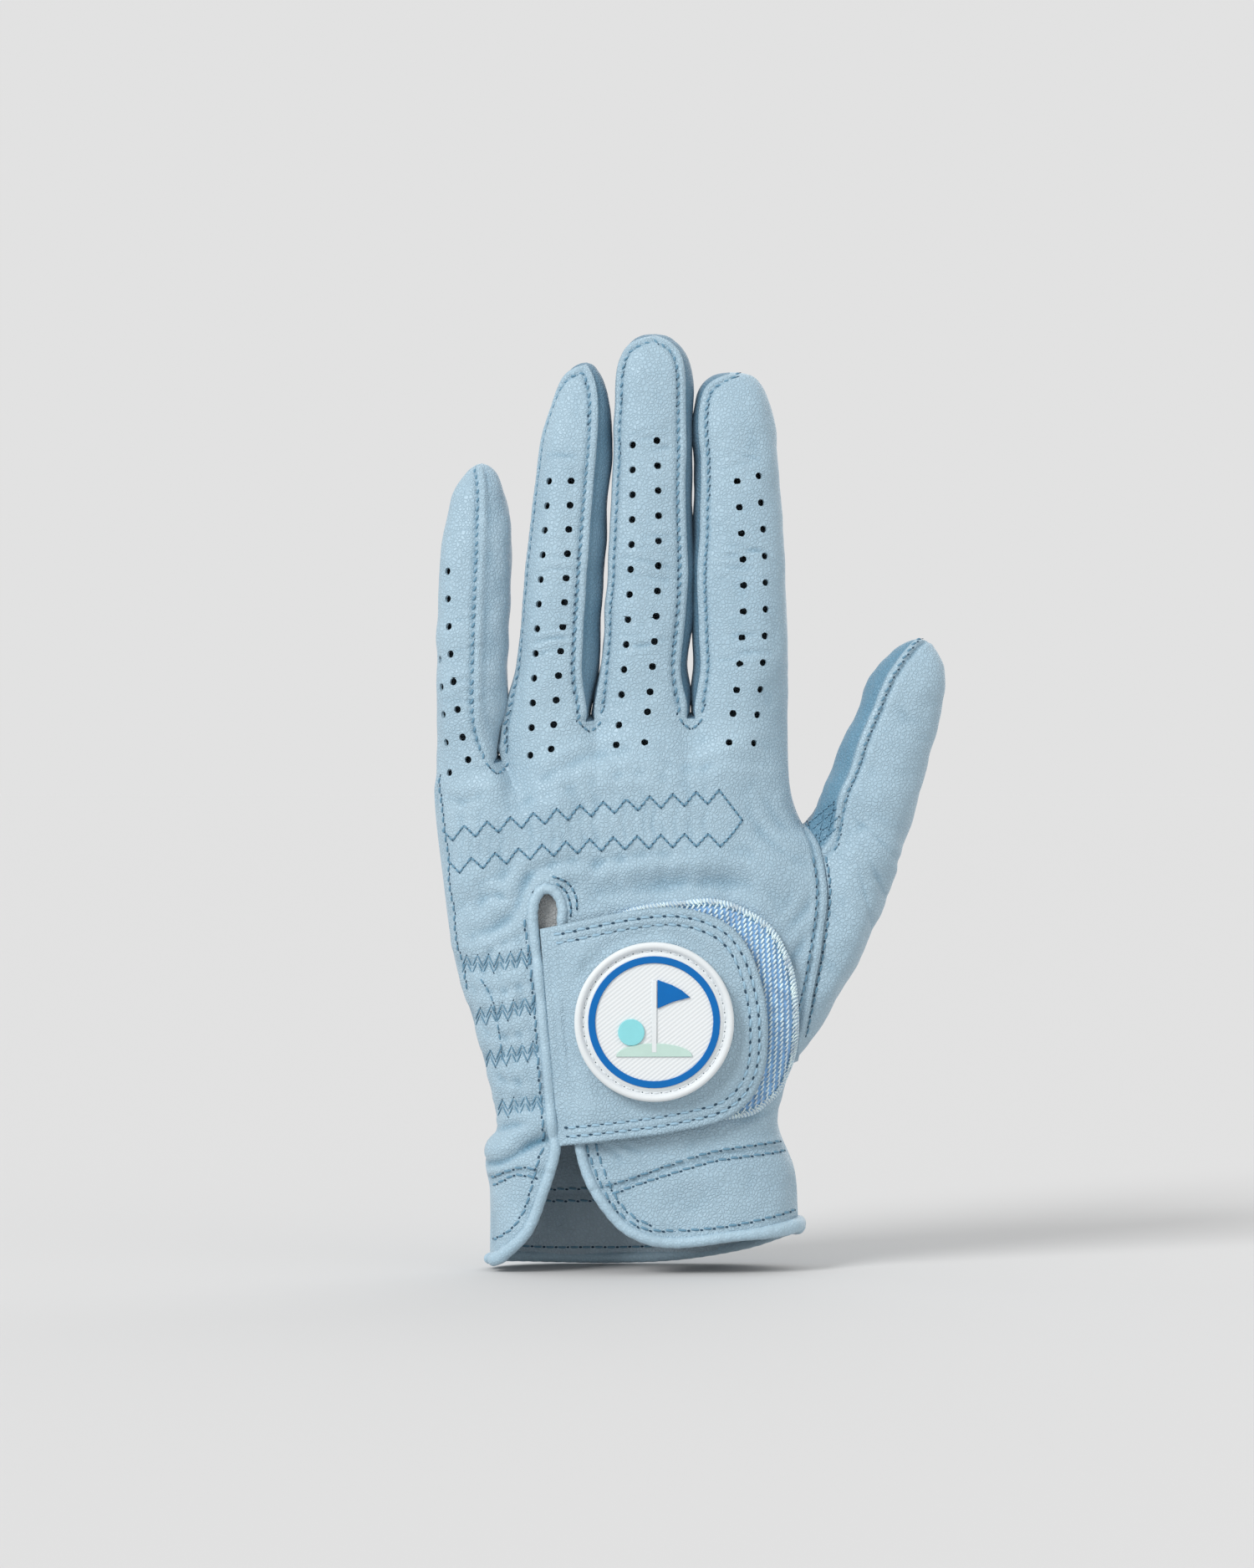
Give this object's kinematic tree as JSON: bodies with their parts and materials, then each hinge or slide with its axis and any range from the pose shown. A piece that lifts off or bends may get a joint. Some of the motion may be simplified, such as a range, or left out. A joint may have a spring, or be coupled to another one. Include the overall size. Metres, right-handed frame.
{
  "type": "golf glove",
  "caption": "Leather left-hand golf glove with elastic gathers at knuckles and wrist, a slit at the back and a hook-and-loop tab with a round badge.",
  "frame": {"origin": "middle of the wrist opening, level with the lowest edge of its hem", "axes": "+Z from the wrist opening to the fingertips; +X towards the thumb side; -Y out of the back of the hand, so +Y is the palm side"},
  "size_m": [0.1215, 0.0383, 0.2236],
  "materials": {
    "back_leather": "soft matt sheepskin",
    "palm_leather": "soft matt sheepskin",
    "side_leather": "soft matt sheepskin",
    "binding": "folded leather edge",
    "elastic": "woven elastic",
    "loop": "loop fastener",
    "hook": "hook fastener",
    "badge_rubber": "moulded soft rubber",
    "badge_blue": "moulded soft rubber",
    "badge_mint": "moulded soft rubber",
    "badge_aqua": "moulded soft rubber"
  },
  "bodies": {
    "hand": {"back_panel": "back_leather", "palm_panel": "palm_leather", "cuff_back_left": "back_leather", "cuff_back_right": "back_leather", "cuff_palm": "palm_leather", "hem_back_left": "binding", "hem_back_right": "binding", "hem_palm": "binding", "slit_binding": "binding", "knuckle_elastic": "elastic", "wrist_elastic_1": "elastic", "wrist_elastic_2": "elastic", "wrist_elastic_3": "elastic", "wrist_elastic_4": "elastic", "loop_patch": "loop", "web_little_ring": "side_leather", "web_ring_middle": "side_leather", "web_middle_index": "side_leather", "thumb_base_back": "back_leather", "thumb_base_palm": "palm_leather", "thumb_gusset": "side_leather"},
    "little_lower": {"little_lower_back": "back_leather", "little_lower_palm": "palm_leather", "little_lower_fourchette_right": "side_leather"},
    "little_upper": {"little_upper_back": "back_leather", "little_upper_palm": "palm_leather", "little_upper_fourchette_right": "side_leather"},
    "ring_lower": {"ring_lower_back": "back_leather", "ring_lower_palm": "palm_leather", "ring_lower_fourchette_right": "side_leather", "ring_lower_fourchette_left": "side_leather"},
    "ring_upper": {"ring_upper_back": "back_leather", "ring_upper_palm": "palm_leather", "ring_upper_fourchette_right": "side_leather", "ring_upper_fourchette_left": "side_leather"},
    "middle_lower": {"middle_lower_back": "back_leather", "middle_lower_palm": "palm_leather", "middle_lower_fourchette_right": "side_leather", "middle_lower_fourchette_left": "side_leather"},
    "middle_upper": {"middle_upper_back": "back_leather", "middle_upper_palm": "palm_leather", "middle_upper_fourchette_right": "side_leather", "middle_upper_fourchette_left": "side_leather"},
    "index_lower": {"index_lower_back": "back_leather", "index_lower_palm": "palm_leather", "index_lower_fourchette_left": "side_leather"},
    "index_upper": {"index_upper_back": "back_leather", "index_upper_palm": "palm_leather", "index_upper_fourchette_left": "side_leather"},
    "thumb_top": {"thumb_back": "back_leather", "thumb_palm": "palm_leather"},
    "tab": {"closure_tab": "back_leather", "hook_pad": "hook", "badge_base": "badge_rubber", "badge_ring": "badge_blue", "badge_flag": "badge_blue", "badge_green": "badge_mint", "badge_ball": "badge_aqua"}
  },
  "joints": [
    {"name": "little_knuckle_bend", "type": "hinge", "parent": "hand", "child": "little_lower", "pos_m": [-0.0417, 0.007, 0.127], "axis": [-0.9994, 0, 0.0349], "range_deg": [0, 75]},
    {"name": "little_middle_bend", "type": "hinge", "parent": "little_lower", "child": "little_upper", "pos_m": [-0.04136, 0.00732, 0.15334], "axis": [-0.9994, 0, 0.0349], "range_deg": [0, 85]},
    {"name": "ring_knuckle_bend", "type": "hinge", "parent": "hand", "child": "ring_lower", "pos_m": [-0.0212, 0.0075, 0.1365], "axis": [-0.9963, 0, 0.0854], "range_deg": [0, 75]},
    {"name": "ring_middle_bend", "type": "hinge", "parent": "ring_lower", "child": "ring_upper", "pos_m": [-0.01901, 0.00774, 0.16875], "axis": [-0.9963, 0, 0.0854], "range_deg": [0, 85]},
    {"name": "middle_knuckle_bend", "type": "hinge", "parent": "hand", "child": "middle_lower", "pos_m": [-0.0012, 0.0077, 0.137], "axis": [-0.9992, 0, 0.0391], "range_deg": [0, 75]},
    {"name": "middle_middle_bend", "type": "hinge", "parent": "middle_lower", "child": "middle_upper", "pos_m": [0.00064, 0.00805, 0.1717], "axis": [-0.9992, 0, 0.0391], "range_deg": [0, 85]},
    {"name": "index_knuckle_bend", "type": "hinge", "parent": "hand", "child": "index_lower", "pos_m": [0.0228, 0.0077, 0.137], "axis": [-0.9993, 0, -0.0361], "range_deg": [0, 75]},
    {"name": "index_middle_bend", "type": "hinge", "parent": "index_lower", "child": "index_upper", "pos_m": [0.02254, 0.00803, 0.16807], "axis": [-0.9993, 0, -0.0361], "range_deg": [0, 85]},
    {"name": "thumb_bend", "type": "hinge", "parent": "hand", "child": "thumb_top", "pos_m": [0.04833, 0.00971, 0.11358], "axis": [-0.8071, -0.4986, 0.3163], "range_deg": [0, 40]},
    {"name": "closure_tab_hinge", "type": "hinge", "parent": "hand", "child": "tab", "pos_m": [-0.0221, -0.0172, 0.056], "axis": [0.0797, 0, -0.9968], "range_deg": [0, 150]}
  ]
}
